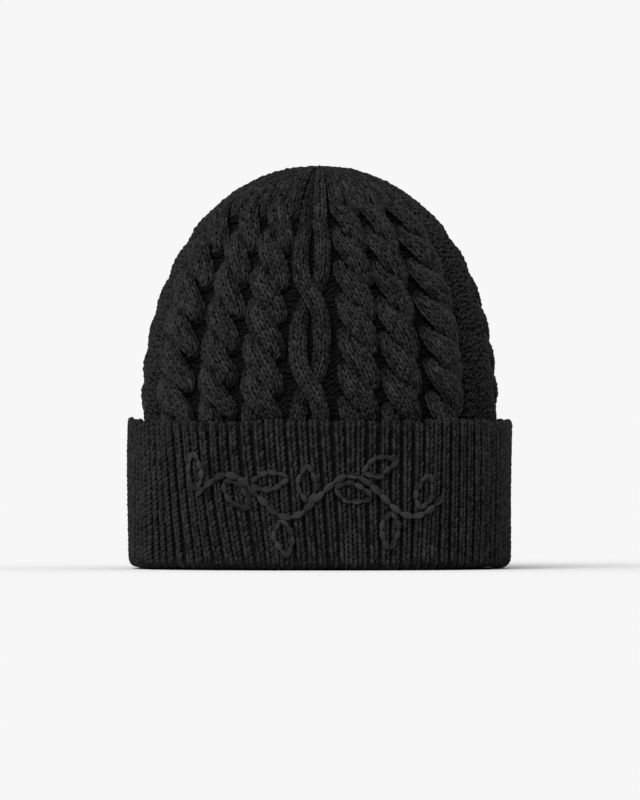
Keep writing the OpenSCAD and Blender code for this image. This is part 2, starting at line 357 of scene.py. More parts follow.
def tube_solid(rings):
    """A closed tube from a (rings, sides, 3) array, with a point at the middle of each end."""
    r, c = rings.shape[:2]
    cap = 0.04
    i, j = (n.ravel() for n in np.meshgrid(np.arange(r - 1), np.arange(c), indexing="ij"))
    k = (j + 1) % c
    v0, v1 = (cap + (1 - 2 * cap) * n / (r - 1) for n in (i, i + 1))
    faces, places = quads(i * c + j, i * c + k, (i + 1) * c + j, (i + 1) * c + k,
                          j / c, (j + 1) / c, v0, v1)
    first, last, last_ring = r * c, r * c + 1, (r - 1) * c
    j = np.arange(c)
    k, zero = (j + 1) % c, 0 * j
    faces = np.concatenate([faces, np.stack([zero + first, k, j], -1),
                            np.stack([zero + last, last_ring + j, last_ring + k], -1)])
    middle, left, right = (j + 0.5) / c, j / c, (j + 1) / c
    places = np.concatenate([
        places, corners((middle, zero), (right, zero + cap), (left, zero + cap)),
        corners((middle, zero + 1), (left, zero + 1 - cap), (right, zero + 1 - cap))])
    points = np.concatenate([rings.reshape(-1, 3), [rings[0].mean(0)], [rings[-1].mean(0)]])
    return points, faces, places


def jitter(count, size):
    """Small random differences, one for each stitch."""
    return rng.normal(0, size, count)


# ---------------------------------------------------------------- materials

class Surface:
    """A procedural material while it is put together: its nodes, colour ramp and bump."""

    def __init__(self, name, roughness, specular):
        self.material = bpy.data.materials.new(name)
        self.material.use_nodes = True
        self.nodes, self.links = self.material.node_tree.nodes, self.material.node_tree.links
        self.shader = self.nodes["Principled BSDF"]
        self.shader.inputs["Roughness"].default_value = roughness
        self.shader.inputs["Specular IOR Level"].default_value = specular
        self.coords = self.nodes.new("ShaderNodeTexCoord")

    def texture(self, kind, **settings):
        """A texture node over the piece's own coordinates."""
        node = self.nodes.new(kind)
        for setting, value in settings.items():
            node.inputs[setting].default_value = value
        self.links.new(self.coords.outputs["Object"], node.inputs["Vector"])
        return node

    def math(self, kind, a, b=None):
        """The outcome of a sum on sockets and numbers."""
        node = self.nodes.new("ShaderNodeMath")
        node.operation = kind
        for socket, value in zip(node.inputs, (a, b)):
            if isinstance(value, (int, float)):
                socket.default_value = value
            elif value is not None:
                self.links.new(value, socket)
        return node.outputs[0]

    def mix(self, *parts):
        """The sum of sockets, each with the share that it counts for."""
        sums = [self.math("MULTIPLY", socket, share) for socket, share in parts]
        total = sums[0]
        for part in sums[1:]:
            total = self.math("ADD", total, part)
        return total

    def ramp(self, socket, colour, low, high, start=0.0, end=1.0):
        """Runs the colour from low to high times its brightness, between these values of the socket."""
        ramp = self.nodes.new("ShaderNodeValToRGB")
        for element, position, light in zip(ramp.color_ramp.elements, (start, end), (low, high)):
            element.position = position
            element.color = (*[c * light for c in colour], 1)
        self.links.new(socket, ramp.inputs[0])
        self.links.new(ramp.outputs[0], self.shader.inputs["Base Color"])

    def bump(self, height, distance, strength=1.0, invert=False):
        """Relief from a socket, this deep."""
        bump = self.nodes.new("ShaderNodeBump")
        bump.invert = invert
        bump.inputs["Distance"].default_value = distance
        bump.inputs["Strength"].default_value = strength
        self.links.new(height, bump.inputs["Height"])
        self.links.new(bump.outputs[0], self.shader.inputs["Normal"])


PLIES = 2


def yarn_material(name, colour, twist=2.5, fuzz=0.5):
    """Matt two-ply yarn: twisted plies and fine fibres as bump, and a tone per stitch that holds both
    random differences and painted shade.
    """
    yarn = Surface(name, roughness=0.86, specular=0.08)
    yarn.shader.inputs["Sheen Weight"].default_value = 0.015
    yarn.shader.inputs["Sheen Roughness"].default_value = 0.55
    yarn.shader.inputs["Sheen Tint"].default_value = (0.62, 0.62, 0.66, 1)
    place = yarn.nodes.new("ShaderNodeUVMap")
    place.uv_map = "yarn"
    split = yarn.nodes.new("ShaderNodeSeparateXYZ")
    yarn.links.new(place.outputs[0], split.inputs[0])
    turns = yarn.math("ADD", split.outputs[0], yarn.math("MULTIPLY", split.outputs[1], twist))
    ply = yarn.math("SINE", yarn.math("MULTIPLY", turns, TAU * PLIES))
    waves = yarn.math("ABSOLUTE", yarn.math("SINE", yarn.math("MULTIPLY", turns, math.pi * PLIES)))
    rounds = yarn.math("POWER", waves, 0.6)

    fibres = yarn.texture("ShaderNodeTexNoise", Scale=2600, Detail=3, Distortion=1.2)
    patches = yarn.texture("ShaderNodeTexNoise", Scale=38, Detail=2)
    tone = yarn.nodes.new("ShaderNodeAttribute")
    tone.attribute_name = "tone"
    mixed = yarn.mix((tone.outputs["Fac"], 0.45), (fibres.outputs["Fac"], 0.30),
                     (patches.outputs["Fac"], 0.25), (ply, 0.08))
    yarn.ramp(mixed, colour, low=0.3, high=2.2, start=0.25, end=0.78)
    yarn.bump(yarn.mix((rounds, 0.35), (fibres.outputs["Fac"], fuzz)), 0.35 * MM, strength=0.8)
    return yarn.material


def backing_material(name, colour, scale):
    """The knit seen between and behind the stitches: small rows of loops, in a colour far darker than the
    yarn's as painted shade, darkest at the loops' edges.
    """
    knit = Surface(name, roughness=0.95, specular=0.1)
    loops = knit.texture("ShaderNodeTexVoronoi", Scale=scale).outputs["Distance"]
    knit.ramp(loops, colour, low=1.2, high=0.3, end=0.7)
    knit.bump(loops, 1 * MM, invert=True)
    return knit.material


def ribbon_material(name, colour):
    """A woven ribbon with fine cross ribs and a little satin gloss."""
    ribbon = Surface(name, roughness=0.5, specular=0.4)
    weft = ribbon.texture("ShaderNodeTexWave", Scale=500, Distortion=0.6)
    weft.bands_direction = "Z"
    ribbon.ramp(weft.outputs["Fac"], colour, low=0.7, high=1.3)
    ribbon.bump(weft.outputs["Fac"], 0.08 * MM)
    return ribbon.material


# The cable, crown and rib yarns are one black yarn in lit and shaded copies: their small differences in
# brightness are tuned so that each region comes out right under this light.
CABLE_YARN = yarn_material("cable yarn", (0.0114, 0.0114, 0.0122))
CROWN_YARN = yarn_material("crown yarn", (0.0105, 0.0105, 0.0115))
RIB_YARN = yarn_material("rib yarn", (0.0107, 0.0107, 0.0114))
SPRIG_YARN = yarn_material("embroidery yarn", (0.0140, 0.0140, 0.0150), twist=3.5, fuzz=0.7)
SEAM_YARN = yarn_material("seam yarn", (0.010, 0.010, 0.011), twist=20)
# The backings' colour is painted shade: far darker than the yarn, for the knit seen deep between the
# stitches.
CROWN_BACKING = backing_material("crown backing", (0.004, 0.004, 0.0044), 380)
RIB_BACKING = backing_material("rib backing", (0.004, 0.004, 0.0044), 420)
RIBBON = ribbon_material("label ribbon", (0.035, 0.035, 0.037))

# ---------------------------------------------------------------- crown

ROW = 2.7 * MM  # from one stitch to the next above it
COLUMN = 2.95 * MM  # from one stitch to the next beside it
LEFT_LEG = capsule((-0.43, 0.92), (-0.13, -0.68), -0.05, 0.238, 0.22, flat=1.0, point=0.7)
RIGHT_LEG = capsule((0.43, 0.92), (0.13, -0.68), 0.05, 0.238, 0.22, flat=1.0, point=0.7)
UPPER_BEAD = capsule((-0.52, -0.10), (0.52, -0.10), -0.16, 0.27, 0.30)
LOWER_BEAD = capsule((-0.48, 0.12), (0.48, 0.12), 0.16, 0.23, 0.20)
CROWN_FOOT = -3 * MM
CROWN_END = CROWN_LENGTH - 3.5 * MM
CROWN_LIMIT = CROWN_LENGTH - 2 * MM  # no stitch reaches further up than this
LEAST_NARROWING = 0.02
DARKEST = -0.6


def crown_unevenness(share, up):
    """The crown's slow waves, which die out towards its top."""
    return ripple(share, up, 0.5 * MM, (3, 5, 7, 11), 21) * np.clip(narrowing(up) * 1.5, 0, 1)


def crown_width(up):
    """The length round the crown at this length up it, and never quite nothing."""
    return CROWN_ROUND * np.maximum(narrowing(np.maximum(up, 0)), LEAST_NARROWING)


def fullness(up):
    """How wide a cable is at this length up the crown: it keeps its width until the cables touch."""
    taper = narrowing(np.maximum(up, 0))
    return np.minimum(np.sqrt(taper), 1.16 * taper)


def plumpness(up):
    """How proud the cables stand: pressed down behind the cuff, and thinner towards the top."""
    pressed = np.interp(up, [0, 4 * MM, 18 * MM], [0.55, 0.68, 1])
    return pressed * (0.2 + 0.8 * narrowing(np.maximum(up, 0)))


def weave(phase, over):
    """The sideways place and the height, from -1 to 1, of a strand that crosses over at phase 0.

    The strand takes this share of each turn to cross over and dives back under in the rest. Without a
    share it stays apart for long and crosses the same way over and under.
    """
    if over is None:
        parting = 1.4
        return np.tanh(parting * np.sin(phase)) / math.tanh(parting), np.cos(phase)
    w = (phase + math.pi) % TAU - math.pi
    slow = np.abs(w) < over * math.pi
    gentle = w / (over * math.pi)
    crossing = 0.5 * np.sin(gentle * math.pi / 2) + 0.5 * gentle
    diving = np.sign(w) * np.cos((np.abs(w) / math.pi - over) / (1 - over) * math.pi / 2)
    return np.where(slow, crossing, diving), np.cos(w)


class Strand:
    """One strand of a cable: its route up the crown and the rounded surface that its stitches lie on."""

    def __init__(self, middle, side, rises, phases, half_width, spread, proud, over):
        self.middle, self.proud = middle, proud
        self.up = np.arange(CROWN_FOOT, CROWN_END, 0.3 * MM)
        phase = np.interp(rise_at(self.up), rises, phases) + (0 if side > 0 else math.pi)
        sideways, high = weave(phase, over)
        turned = ((phase + math.pi) % TAU - math.pi) / math.pi
        head, tip = bulge(turned, 0.76, 0.3), bulge(turned, -0.90, 0.17)  # where it dives and comes up
        if over is None:
            head = tip = 0
        self.sideways = -spread * sideways * fullness(self.up) * (1 - 0.1 * head)
        self.height = proud * (2.6 + 2.9 * high) * MM * plumpness(self.up)
        self.gone = distances(np.hypot(np.diff(self.up), np.diff(self.sideways)))
        self.lean = np.arctan2(np.gradient(self.sideways), np.gradient(self.up))
        if over is not None:  # its stitches keep their direction where it dives back under
            self.lean = np.minimum(self.lean, math.radians(3))
        self.wide = half_width * fullness(self.up) * (1 - 0.26 * head - 0.3 * tip)
        self.thick = proud * 3.7 * MM * plumpness(self.up) * (1 - 0.12 * head)

    def at(self, values, along):
        return np.interp(along, self.gone, values)

    def section(self, along):
        """Half the width and the thickness of the strand."""
        return self.at(self.wide, along), self.at(self.thick, along)

    def place(self, turn, along, lift, shrink=1.0):
        """Points on the strand's skin, this angle round it from its right side, lifted off it."""
        a, b = (size * shrink for size in self.section(along))
        nx, nh = np.cos(turn) * b, np.sin(turn) * a
        size = np.hypot(nx, nh)
        across = a * np.cos(turn) + nx / size * lift
        high = b * np.sin(turn) + nh / size * lift
        tilt = self.at(self.lean, along)
        lateral = self.at(self.sideways, along) + across * np.cos(tilt)
        up = np.minimum(self.at(self.up, along) - across * np.sin(tilt), CROWN_LIMIT)
        share = self.middle + lateral / crown_width(up)
        return crown(share, up, self.at(self.height, along) + high + crown_unevenness(share, up))

    def skin(self, lateral, up):
        """The height of this strand's upper skin at a place in the cable, and 0 where it isn't."""
        wide = np.interp(up, self.up, self.wide) / np.cos(np.interp(up, self.up, self.lean))
        aside = (lateral - np.interp(up, self.up, self.sideways)) / wide
        within = np.clip(1 - aside ** 2, 0, 1)
        high = np.interp(up, self.up, self.height) + np.interp(up, self.up, self.thick) * np.sqrt(within)
        return np.where(within > 0, high, 0)

    def rows(self):
        """How far along the strand its rows of stitches are. They lie further apart towards the top."""
        rows, at = [], 0.5 * ROW
        while at < self.gone[-1]:
            rows.append(at)
            at += ROW * (1 + 0.45 * (1 - narrowing(max(float(self.at(self.up, at)), 0))))
        return rows

    def places(self):
        """The angle round the strand, the place along it, the width and the length of each stitch."""
        rows, found = self.rows(), []
        fine = np.linspace(*np.radians([166, 14]), 61)
        for row, step in zip(rows, np.diff(rows, append=self.gone[-1])):
            a, b = self.section(row)
            arc = distances(np.hypot(a * np.diff(np.cos(fine)), b * np.diff(np.sin(fine))))
            n = max(int(round(arc[-1] / COLUMN)), 1)
            turns = np.interp((np.arange(n) + 0.5) / n * arc[-1], arc, fine)
            found += [(turn, row, arc[-1] / n, max(step, ROW)) for turn in turns]
        return np.array(found).T

    def stitches(self, knit, other):
        """Stitches over this strand's skin, sunk where the other strand meets it, with painted shade in
        their tone there, at the strand's flanks and towards the crown's top.
        """
        turns, along, wide, tall = self.places()
        along = along + jitter(len(turns), 0.08 * ROW)
        (a, b), lean = self.section(along), self.at(self.lean, along)
        lateral = self.at(self.sideways, along) + a * np.cos(turns) * np.cos(lean)
        up = self.at(self.up, along) - a * np.cos(turns) * np.sin(lean)
        clear = self.at(self.height, along) + b * np.sin(turns) - other.skin(lateral, up)
        seen = clear > 0.6 * MM * self.proud
        turns, along, wide, tall, a, b, up, clear = (
            c[seen] for c in (turns, along, wide, tall, a, b, up, clear))
        count = len(turns)
        speed = np.hypot(a * np.sin(turns), b * np.cos(turns))
        turns = turns + jitter(count, 0.05 * COLUMN) / speed
        crease = bulge(np.maximum(clear, 0), 0, 1.9 * MM * self.proud)
        flank_shade, height = np.abs(np.cos(turns)) ** 6, 1 - narrowing(np.maximum(up, 0))
        # Painted shade taken off each stitch's tone: dark in the creases where the other strand meets this
        # one, at the flanks next to the ground, and darker towards the crown's top.
        shade = 1.15 * crease + 0.7 * flank_shade + 0.42 * height
        for points, faces, places in (LEFT_LEG, RIGHT_LEG):
            skew = jitter(count, 0.06)[:, None]
            x = (points[None, :, 0] + skew * points[None, :, 1]) * wide[:, None]
            y = along[:, None] + points[None, :, 1] * tall[:, None]
            size = np.minimum(wide / COLUMN, 1) * (1 + jitter(count, 0.08))
            sunk = jitter(count, 0.10 * MM) - 0.8 * MM * self.proud * crease
            h = points[None, :, 2] * (size * COLUMN)[:, None] + sunk[:, None]
            tones = np.clip(0.55 + jitter(count, 0.26) - shade, DARKEST, 1.1)
            knit.add(self.place(turns[:, None] - x / speed[:, None], y, h), faces, places, tones)

    def core(self, knit):
        """The strand's inside, which shows in the creases between its stitches: its tone is painted dark,
        as shade in those creases.
        """
        steps = np.linspace(0, self.gone[-1], 90)[:, None]
        turn = np.linspace(0, TAU, 12, endpoint=False)[None]
        knit.solid(tube_solid(self.place(turn, steps, -0.8 * MM * self.proud, 0.95)), -0.5)


STRAND_HALF, STRAND_SPREAD = 5.1 * MM, 5.6 * MM
BRAID_FOOT, BRAID_END = rise_at(up_at(1)), rise_at(up_at(56))
BRAID_TURNED = 6.5 * math.pi  # how far round each other the strands are where they end
BRAID_OVER = 0.76
OPEN_HALF, OPEN_SPREAD = 3.7 * MM, 5.9 * MM
OPEN_RISES = [CROWN_FOOT, 20 * MM, 62 * MM, 95 * MM]  # the strands cross at the second and the third
OPEN_PHASES = np.radians([-88, 0, 180, 325])
CABLES = []  # the middle of each, half the width it covers and half the width it always hides


def cable(name, middle, covered, *shape):
    """Two strands that cross over each other, on the crown at this share of its way round."""
    CABLES.append((middle, *covered))
    knit = Knit()
    left, right = (Strand(middle, side, *shape) for side in (-1, 1))
    for strand, other in ((left, right), (right, left)):
        strand.stitches(knit, other)
        strand.core(knit)
    knit.finish(name + "_knit", CABLE_YARN, "hat", "cable_yarn", [name])


def braid(name, middle, start, width=1.0, proud=1.0):
    """A closed cable. It starts this many degrees into a crossing, and may be wider and less proud."""
    cable(name, middle, (9.6 * MM * width, 3.2 * MM), [BRAID_FOOT, BRAID_END],
          [math.radians(start), BRAID_TURNED], STRAND_HALF * width, STRAND_SPREAD * width,
          proud, BRAID_OVER)


def open_cable(name, middle):
    """A cable whose strands part between its two crossings."""
    cable(name, middle, (8.6 * MM, 0), OPEN_RISES, OPEN_PHASES, OPEN_HALF, OPEN_SPREAD, 0.95, None)


# Across the front: the place as a fraction of the half width, the start in degrees and the width.
FRONT = ((-0.82, 60, 1.6), (-0.58, 20, 1.12), (-0.335, 75, 1.1), (-0.06, None, 1),
         (0.215, 40, 1.06), (0.455, 80, 1.08), (0.70, 10, 1.32))
for number, (fraction, start, width) in enumerate(FRONT, 1):
    if start is None:
        open_cable(f"cable_front_{number}", share_across(fraction))
    else:
        braid(f"cable_front_{number}", share_across(fraction), start, width)
SIDE_SPACING, BACK_SPACING, SIDE_PROUD = 13.2, 12.4, 0.42
for number, start in enumerate((50, 15, 70), 1):
    braid(f"cable_left_{number}", share_of(180 - number * SIDE_SPACING), start, proud=SIDE_PROUD)
for number, start in enumerate((30, 75, 5), 1):
    braid(f"cable_right_{number}", share_of(number * SIDE_SPACING), start, proud=SIDE_PROUD)
for number, start in enumerate((60, 20, 75, None, 40, 80, 10), 1):
    middle = share_of(90 + (number - 4) * BACK_SPACING)
    if start is None:
        open_cable(f"cable_back_{number}", middle)
    else:
        braid(f"cable_back_{number}", middle, start)


def purl_places(offset, rise):
    """Where the bumps go: on rows all round, but left out where a cable always covers them.

    Gives their share of the way round, length up the crown, width and clearance from the cables, which
    is 0 at a cable's side and 1 well away from it.
    """
    middles, halves, hidden = (np.array(c)[None] for c in zip(*CABLES))
    rows = np.arange(CROWN_FOOT, CROWN_END, ROW)
    alike, well_away = 10, 7 * MM  # this many rows on end have the same number of stitches
    found = []
    for r, up in enumerate(rows):
        level = rows[min(r // alike * alike + alike // 2, len(rows) - 1)]
        n = max(int(round(CROWN_ROUND * narrowing(max(level, 0)) / COLUMN)), 12)
        share = (np.arange(n) + offset) / n
        away = np.abs((share[:, None] - middles + 0.5) % 1 - 0.5) * CROWN_ROUND
        seen = (away > hidden).all(1)
        beside = np.clip((away - halves).min(1)[seen] / well_away, 0, 1)
        wide = CROWN_ROUND * narrowing(max(up, 0)) / n
        found += [(at, up + rise, wide, clear) for at, clear in zip(share[seen], beside)]
    return np.array(found).T


def purl_ground():
    """Purl bumps over the crown's ground, in four pieces round the hat."""
    quarters = [Knit() for _ in range(4)]
    for half, (shape, offset) in enumerate(((UPPER_BEAD, 0), (LOWER_BEAD, 0.5))):
        points, faces, places = shape
        across, along, wide, beside = purl_places(offset, half * 0.5 * ROW)
        count = len(across)
        # Painted shade: the bumps' tone darkens towards the cables' sides, in the gaps between the cables.
        tones = np.clip(-0.75 + 1.15 * beside + jitter(count, 0.22), DARKEST, 1)
        along = along + jitter(count, 0.20 * ROW)
        lift = jitter(count, 0.18 * MM) + (1.2 * beside - 0.4) * MM
        tilt = jitter(count, 0.36) + np.where(across % 1 < 0.5, 0.25, -0.25)
        x = points[None, :, 0] * wide[:, None]
        y = along[:, None] + (points[None, :, 1] + tilt[:, None] * points[None, :, 0]) * ROW
        share = across[:, None] + x / crown_width(y)
        level = (0.1 - 0.2 * half) * MM + lift[:, None]
        h = points[None, :, 2] * ROW + level + crown_unevenness(share, y)
        xyz = crown(share, np.minimum(y, CROWN_LIMIT), h)
        which = (across * 4).astype(int) % 4
        for q, quarter in enumerate(quarters):
            quarter.add(xyz[which == q], faces, places, tones[which == q])
    for q, quarter in enumerate(quarters, 1):
        quarter.finish(f"crown_purl_{q}", CROWN_YARN, "hat", "crown_yarn", ["crown_ground"])


def crown_shell():
    """The closed ground fabric behind the stitches, with a flange at its foot that meets the ribbing."""
    share = np.linspace(0, 1, 192, endpoint=False)
    flange_low, flange_high, flange_out = -5.2 * MM, -1.5 * MM, 5.0 * MM
    ups = np.concatenate([[flange_low, flange_high, flange_high + 0.1 * MM],
                          np.linspace(0, CROWN_LENGTH, 64)[:-1], [CROWN_LENGTH - 0.3 * MM]])
    levels = np.where(ups <= flange_high, flange_out, 0) - 0.3 * MM
    outside = [crown(share, np.full_like(share, up), crown_unevenness(share, up) + level)
               for up, level in zip(ups, levels)]
    inside = [crown(share, np.full_like(share, up), np.full_like(share, -2.8 * MM)) for up in ups[::-1]]
    knit = Knit()
    knit.solid(ring_solid(np.array(outside + inside)))
    knit.finish("crown_ground_shell", CROWN_BACKING, "hat", "crown_yarn", ["crown_ground"])


def top_gathers():
    """The last stitches, drawn in round the middle of the top in two rings."""
    points, faces, places = capsule((0, 0.95), (0, 0.05), 0.06, 0.15, 0.10, sides=6, rings=4, point=0.4)
    knit = Knit()
    for count, reach, high in ((16, 8 * MM, 0.9 * MM), (9, 5 * MM, 1.4 * MM)):
        turn = (np.arange(count)[:, None] / count + jitter(count, 0.008)[:, None]) * TAU
        length = reach * (1 + jitter(count, 0.06)[:, None])
        out, aside = points[None, :, 1] * length, points[None, :, 0] * length
        x = out * np.cos(turn) - aside * np.sin(turn)
        y = out * np.sin(turn) + aside * np.cos(turn)
        z = CROWN_TOP + high + points[None, :, 2] * length - 1.1 * MM * (1 - out / reach) ** 2
        tones = np.clip(0.25 + jitter(count, 0.2), DARKEST, 1)
        knit.add(np.stack([x, y, z], -1), faces, places, tones)
    knit.finish("crown_top_gathers", CABLE_YARN, "hat", "cable_yarn", ["crown_ground"])


purl_ground()
crown_shell()
top_gathers()

# ---------------------------------------------------------------- cuff

RIBS = 114
RIB_ROW = 2.45 * MM
RIB_HALF = CUFF_ROUND / RIBS / 2
# The two legs of a rib's stitch, in millimetres: one lies along the rib, and the other is a round bead.
SMOOTH_LEG = capsule((-1.40, 2.40), (-0.85, -2.05), -0.12, 1.02, 0.35)
BEADED_LEG = capsule((2.15, 2.00), (0.40, -1.75), 0.10, 0.92, 0.50, point=0.6)
RIB_SHIFTS = rng.uniform(-0.5, 0.5, RIBS)  # how many rows each rib's stitches are out of step
RIB_TIPS = rng.normal(0, 0.55 * MM, RIBS)  # how much higher each rib ends


def rib_sway(share, along):
    """How far the ribs wander sideways: small waves, and a lean towards the middle on the left front."""
    off = (share + 0.5) % 1 - 0.5
    rise = np.clip((along - OUTSIDE_FROM) / (EDGE_FROM - OUTSIDE_FROM), 0, 1)
    lean = 9.5 * MM * bulge(off, -0.09, 0.09) - 2.5 * MM * bulge(off, 0.11, 0.05)
    return (ripple(share, along, 0.7 * MM, (9, 17, 31), 5) + lean * (1 - rise) ** 1.3) / CUFF_ROUND


def rib_profile(x):
    """How far a rib's surface falls away from its middle towards the valleys."""
    return -1.2 * MM * np.clip(np.abs(x) / RIB_HALF, 0, 1.2) ** 2.5


def cuff_unevenness(share, along):
    """The ribbing's slow waves."""
    return ripple(share, along, 0.45 * MM, (3, 5, 8, 13), 11)


def ribs(name, low, high, node, parts=1):
    """The stretch of ribbing between two places on its route, in this many pieces round the hat."""
    rows = np.arange(low, high, RIB_ROW)
    rib, row = (c.ravel() for c in np.meshgrid(np.arange(RIBS), rows, indexing="ij"))
    for part in range(parts):
        knit = Knit()
        mine = rib * parts // RIBS == part
        count, own = int(mine.sum()), rib[mine]
        for points, faces, places in (SMOOTH_LEG, BEADED_LEG):
            share = (own + 0.5) / RIBS
            along = row[mine] + RIB_SHIFTS[own] * RIB_ROW + jitter(count, 0.14 * MM)
            pull = 1 + ripple(share, along, 0.08, (7, 15), 3)
            share = share + jitter(count, 0.12 * MM) / CUFF_ROUND
            x = points[None, :, 0] * MM * pull[:, None]
            y = along[:, None] + points[None, :, 1] * MM
            around = share[:, None] + x / CUFF_ROUND + rib_sway(share[:, None], y)
            level = jitter(count, 0.10 * MM)[:, None] - 1.7 * MM
            h = points[None, :, 2] * MM + level + cuff_unevenness(around, y)
            tones = np.clip(0.5 + jitter(count, 0.26), 0, 1)
            xyz = cuff(around, y, h + rib_profile(x))
            xyz[..., 2] += RIB_TIPS[own][:, None] * np.clip((y - EDGE_FROM) / (6 * MM) + 1, 0, 1)
            knit.add(xyz, faces, places, tones)
        label = name if parts == 1 else f"{name}_{part + 1}"
        knit.finish(label, RIB_YARN, "hat", "rib_yarn", [node])


def cuff_backing():
    """The closed fabric behind the ribs, which keeps light out of the valleys."""
    share = np.linspace(0, 1, 4 * RIBS, endpoint=False)
    bump = np.array([-0.5, 0.2, 0.2, -0.5])[np.arange(len(share)) % 4] * MM
    around_fold, edge = 9 * MM, 8 * MM
    stretches = ((0, FOLD_AT - around_fold, 12), (FOLD_AT - around_fold, FOLD_AT + around_fold, 18),
                 (FOLD_AT + around_fold, EDGE_FROM, 14), (EDGE_FROM, EDGE_FROM + edge, 14),
                 (EDGE_FROM + edge, ROUTE_END, 3))
    alongs = np.concatenate([np.linspace(low, high, n, endpoint=False) for low, high, n in stretches])
    near_fold = FOLD_AT + np.array([-7, -1, 5, 10]) * MM
    depths = MM * np.interp(alongs, [*near_fold, EDGE_FROM - 4 * MM, EDGE_FROM],
                            [2.9, 0.8, 0.8, 2.9, 2.9, 2.15])
    face = [cuff(share + rib_sway(share, along), np.full_like(share, along),
                 bump - depth + cuff_unevenness(share, along)) for along, depth in zip(alongs, depths)]
    knit = Knit()
    knit.solid(ring_solid(np.array(face)))
    knit.finish("cuff_backing", RIB_BACKING, "hat", "rib_yarn", ["cuff_turned_up"])


INSIDE_TO, FOLD_TO = OUTSIDE_FROM - 16 * MM, OUTSIDE_FROM + 1 * MM
ribs("rib_band_inner_ribs", 0.5 * MM, INSIDE_TO, "rib_band_inner", 2)
ribs("cuff_fold_ribs", INSIDE_TO, FOLD_TO, "cuff_fold")
ribs("cuff_turned_up_ribs", FOLD_TO, EDGE_FROM, "cuff_turned_up", 2)
ribs("cuff_top_edge_ribs", EDGE_FROM, ROUTE_END, "cuff_top_edge")
cuff_backing()

# ---------------------------------------------------------------- embroidery

CHAIN = 6.7 * MM  # the length of a chain stitch of size 1
CHAIN_LEFT = capsule((-0.03, -0.68), (-0.06, 0.54), 0.14, 0.165, 0.12, sides=7, rings=6)
CHAIN_RIGHT = capsule((0.03, -0.68), (0.06, 0.54), -0.14, 0.165, 0.12, sides=7, rings=6)
CHAIN_LIFT, CHAIN_TONE = -0.40 * MM, 0.50
SPRIG_Z = 36 * MM
SPRIG_HALF, SPRIG_WAVE, SPRIG_PERIOD = 60 * MM, 10 * MM, 60 * MM
LEAVES, LEAF_STEP = 9, 13.5 * MM
LEAF_LONG, LEAF_HALF, LEAF_GAP, LEAF_LEAN = 18 * MM, 4.2 * MM, 3.2 * MM, math.radians(52)


def across_front(x):
    """The length along the cuff's front from its middle to a point this far to the right."""
    angle = np.arctan2(-HALF_DEPTH * front_reach(x / HALF_WIDTH), x)
    share = np.interp(angle_from_front(angle), OVAL_ANGLES, CUFF_SHARES)
    return (share + 0.5) % 1 * CUFF_ROUND - 0.5 * CUFF_ROUND


def chain(knit, route, size, closed=False):
    """Chain stitches along a route of (along the front, height) points."""
    if closed:
        route = np.concatenate([route, route[:1]])
    gone = distances(np.hypot(*np.diff(route, axis=0).T))
    end = gone[-1]
    links = max(int(round(end / (CHAIN * size))), 2)
    pitch = end / links
    at = (np.arange(links) + 0.5) * pitch
    aside, swell = jitter(links, 0.18 * MM)[:, None], 1 + jitter(links, 0.07)[:, None]
    for points, faces, places in (CHAIN_LEFT, CHAIN_RIGHT):
        tones = np.clip(CHAIN_TONE + jitter(links, 0.22), 0, 1)
        y = at[:, None] + points[None, :, 1] * pitch
        x = points[None, :, 0] * CHAIN * size * swell + aside
        s = y if closed else np.clip(y, 0, end)
        step, period = 0.2 * MM, end if closed else None
        here, ahead, behind = (np.array([np.interp(t, gone, part, period=period) for part in route.T])
                               for t in (s, s + step, s - step))
        way = ahead - behind
        dx, dz = way / np.maximum(np.hypot(*way), 1e-9)
        spare = y - s  # how far a stitch reaches past the route's end
        side, up = here[0] + x * dz + spare * dx, here[1] - x * dx + spare * dz
        share, along = side / CUFF_ROUND, OUTSIDE_FROM + up - FOLD_RISE
        over_ribs = 0.22 * MM * np.cos(TAU * (share * RIBS - 0.5))
        h = points[None, :, 2] * CHAIN * size + CHAIN_LIFT + cuff_unevenness(share, along) + over_ribs
        knit.add(cuff(share, along, h), faces, places, tones)


def sprig_height(x):
    """The height of the waving stem."""
    return SPRIG_Z + SPRIG_WAVE * np.sin(TAU * x / SPRIG_PERIOD)


def leaf(root_x, above):
    """The outline of a leaf that leans off the stem, to its upper side (1) or its lower side (-1)."""
    slope = math.atan(SPRIG_WAVE * TAU / SPRIG_PERIOD * math.cos(TAU * root_x / SPRIG_PERIOD))
    lean = above * LEAF_LEAN + slope
    root = np.array([float(across_front(root_x)), float(sprig_height(root_x)) + above * LEAF_GAP])
    u = np.linspace(0, 1, 40)
    half = LEAF_HALF * np.sin(math.pi * u) ** 0.8 * (1.2 - 0.4 * u)
    long = np.concatenate([u, u[-2:0:-1]]) * LEAF_LONG
    wide = np.concatenate([half, -half[-2:0:-1]])
    turned = [long * math.cos(lean) - wide * math.sin(lean), long * math.sin(lean) + wide * math.cos(lean)]
    return root + np.stack(turned, -1)


def sprig():
    """A waving stem with leaves on alternate sides, all in chain stitch."""
    x = np.linspace(-SPRIG_HALF, SPRIG_HALF, 400)
    stem = Knit()
    chain(stem, np.stack([across_front(x), sprig_height(x)], -1), 1.0)
    stem.finish("motif_stem_chain", SPRIG_YARN, "hat", "embroidery_yarn", ["motif_stem"])
    leaves = Knit()
    for i in range(LEAVES):
        root_x = (i - (LEAVES - 1) / 2) * LEAF_STEP - LEAF_LONG / 3
        chain(leaves, leaf(root_x, 1 if i % 2 == 0 else -1), 0.8, closed=True)
    leaves.finish("motif_leaves_chain", SPRIG_YARN, "hat", "embroidery_yarn", ["motif_leaves"])


sprig()

# ---------------------------------------------------------------- threads and label inside

